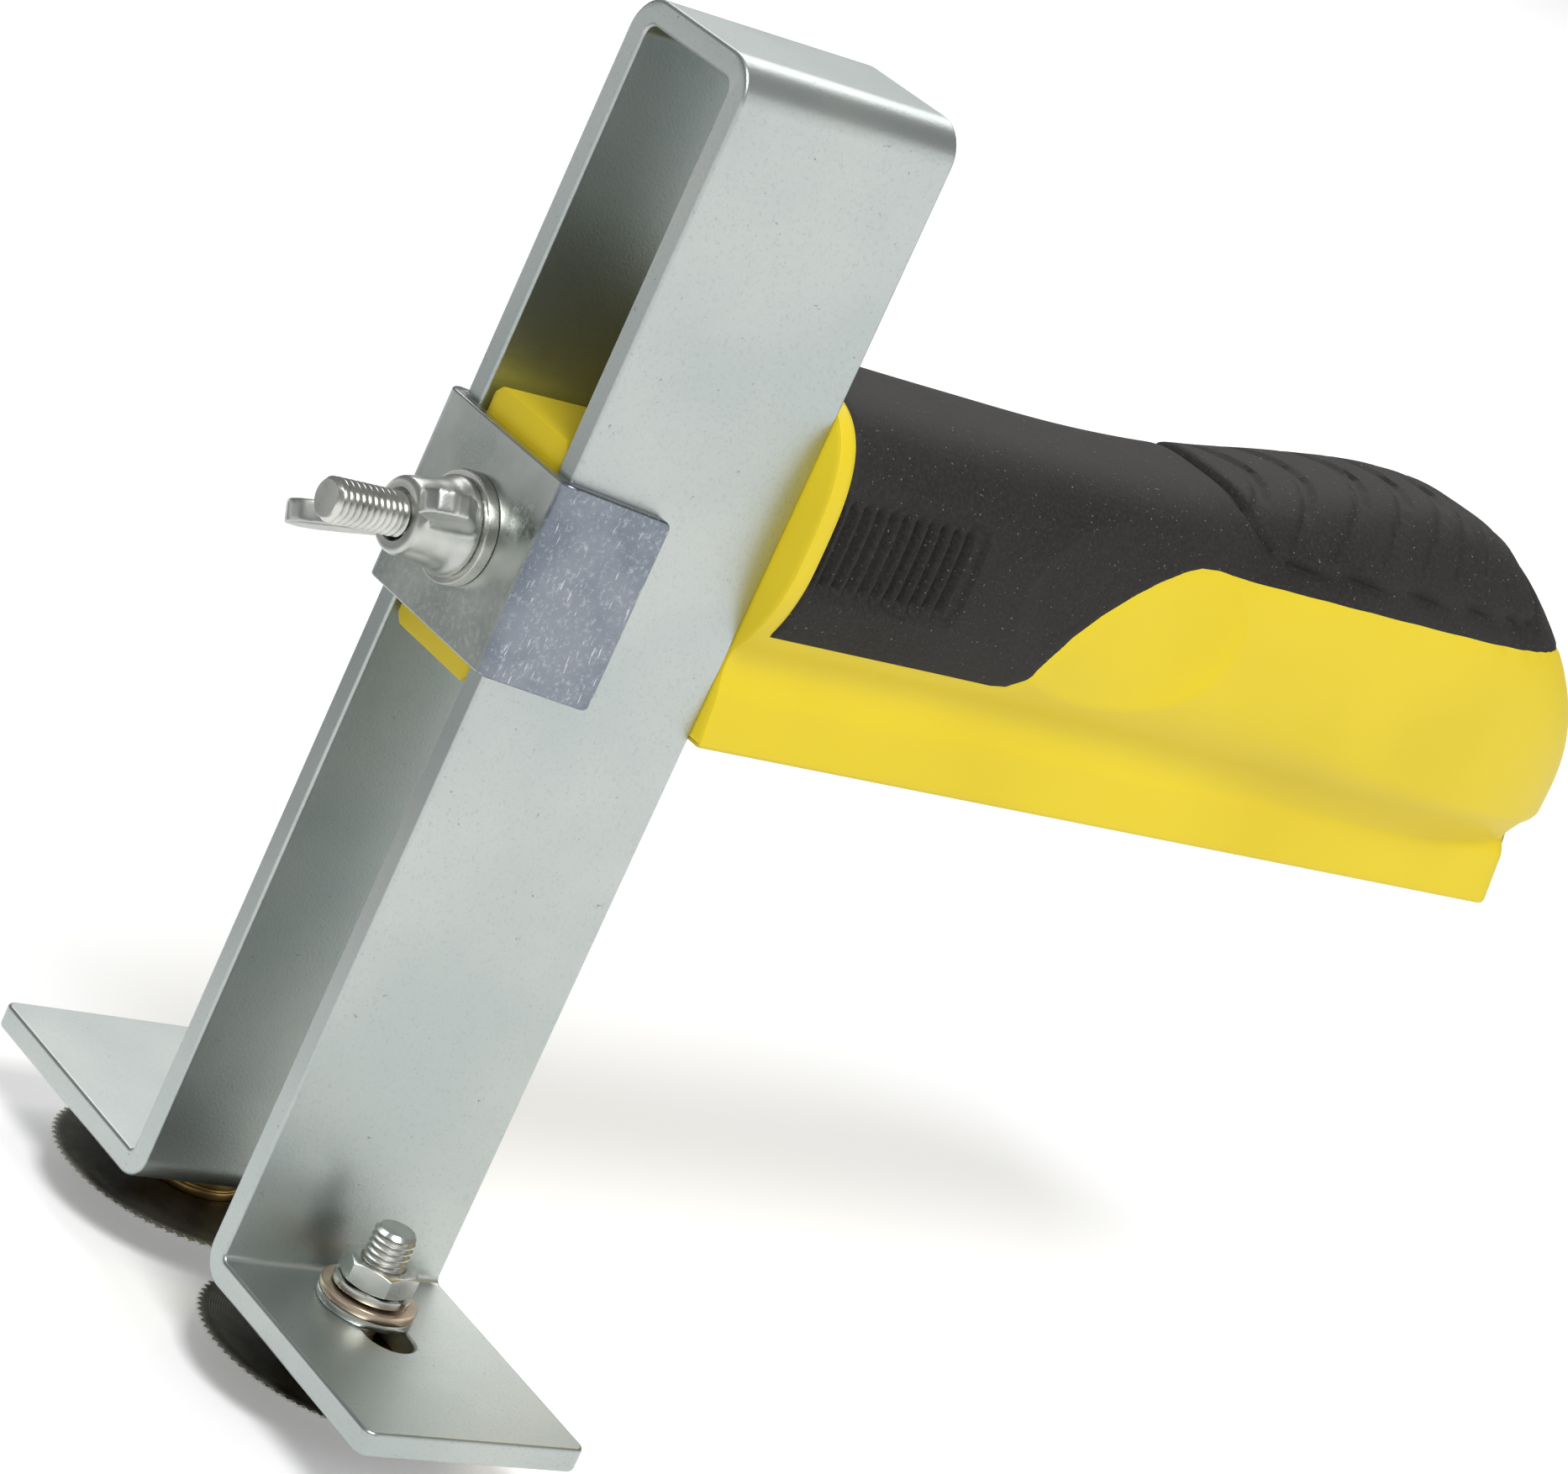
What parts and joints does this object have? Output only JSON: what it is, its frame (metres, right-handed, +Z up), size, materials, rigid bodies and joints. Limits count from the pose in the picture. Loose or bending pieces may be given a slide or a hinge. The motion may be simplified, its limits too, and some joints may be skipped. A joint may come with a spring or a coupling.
{
  "type": "plasterboard strip cutter",
  "caption": "Hand-held plasterboard strip cutter: bent steel U with serrated scoring wheels under its feet and a sliding fence handle locked by a wing nut.",
  "frame": {"origin": "middle of the cutting gap, midway between the wheels and in the plane of their rims", "axes": "+Z up along the legs towards the closed top of the U, +X along the handle away from the wing nut, +Y across the gap to the left wheel"},
  "size_m": [0.1905, 0.0912, 0.1558],
  "materials": {
    "zinc_plated_bar": "bright zinc plating, satin, faintly mottled",
    "zinc_plated_sheet": "blue zinc plating, crystalline spangle",
    "plated_fastener": "bright zinc plating",
    "plated_casting": "zinc plated casting, satin",
    "yellow_zinc_washer": "yellow passivated zinc",
    "dark_wheel_steel": "dark hardened steel, ground edge",
    "turned_brass": "turned brass",
    "yellow_plastic": "smooth satin moulding",
    "black_rubber": "fine matt texture"
  },
  "bodies": {
    "frame": {"frame": "zinc_plated_bar"},
    "handle": {"handle_core": "yellow_plastic", "grip_overmould": "black_rubber", "clamp_bolt": "plated_fastener"},
    "clamp_plate": {"clamp_bracket": "zinc_plated_sheet", "clamp_washer": "plated_fastener"},
    "wing_nut": {"wing_nut": "plated_casting"},
    "right_wheel_carrier": {"right_wheel_bolt": "plated_fastener", "right_thrust_washer": "plated_fastener", "right_brass_bush": "turned_brass", "right_lower_flat_washer": "plated_fastener", "right_upper_flat_washer": "yellow_zinc_washer", "right_spring_washer": "plated_fastener", "right_hex_nut": "plated_fastener"},
    "right_wheel": {"right_cutter_wheel": "dark_wheel_steel"},
    "left_wheel_carrier": {"left_wheel_bolt": "plated_fastener", "left_thrust_washer": "plated_fastener", "left_brass_bush": "turned_brass", "left_lower_flat_washer": "plated_fastener", "left_upper_flat_washer": "yellow_zinc_washer", "left_spring_washer": "plated_fastener", "left_hex_nut": "plated_fastener"},
    "left_wheel": {"left_cutter_wheel": "dark_wheel_steel"}
  },
  "joints": [
    {"name": "handle_slide", "type": "slide", "parent": "frame", "child": "handle", "axis": [0, 0, 1], "range_m": [-0.06, 0.042]},
    {"name": "clamp_slide", "type": "slide", "parent": "handle", "child": "clamp_plate", "axis": [-1, 0, 0], "range_m": [0, 0.0047]},
    {"name": "wing_nut_turn", "type": "hinge", "parent": "clamp_plate", "child": "wing_nut", "pos_m": [-0.0183, 0, 0.0912], "axis": [-1, 0, 0], "range_deg": [0, 1800]},
    {"name": "right_wheel_adjust", "type": "slide", "parent": "frame", "child": "right_wheel_carrier", "axis": [0, -1, 0], "range_m": [-0.0008, 0.0065]},
    {"name": "right_wheel_spin", "type": "hinge", "parent": "right_wheel_carrier", "child": "right_wheel", "pos_m": [0, -0.0188, 0], "axis": [0, 0, 1], "continuous": true},
    {"name": "left_wheel_adjust", "type": "slide", "parent": "frame", "child": "left_wheel_carrier", "axis": [0, 1, 0], "range_m": [-0.0008, 0.0065]},
    {"name": "left_wheel_spin", "type": "hinge", "parent": "left_wheel_carrier", "child": "left_wheel", "pos_m": [0, 0.0188, 0], "axis": [0, 0, 1], "continuous": true}
  ],
  "couplings": [
    {"joint": "clamp_slide", "follows": "wing_nut_turn", "m_per_rad": 0.00012732}
  ]
}
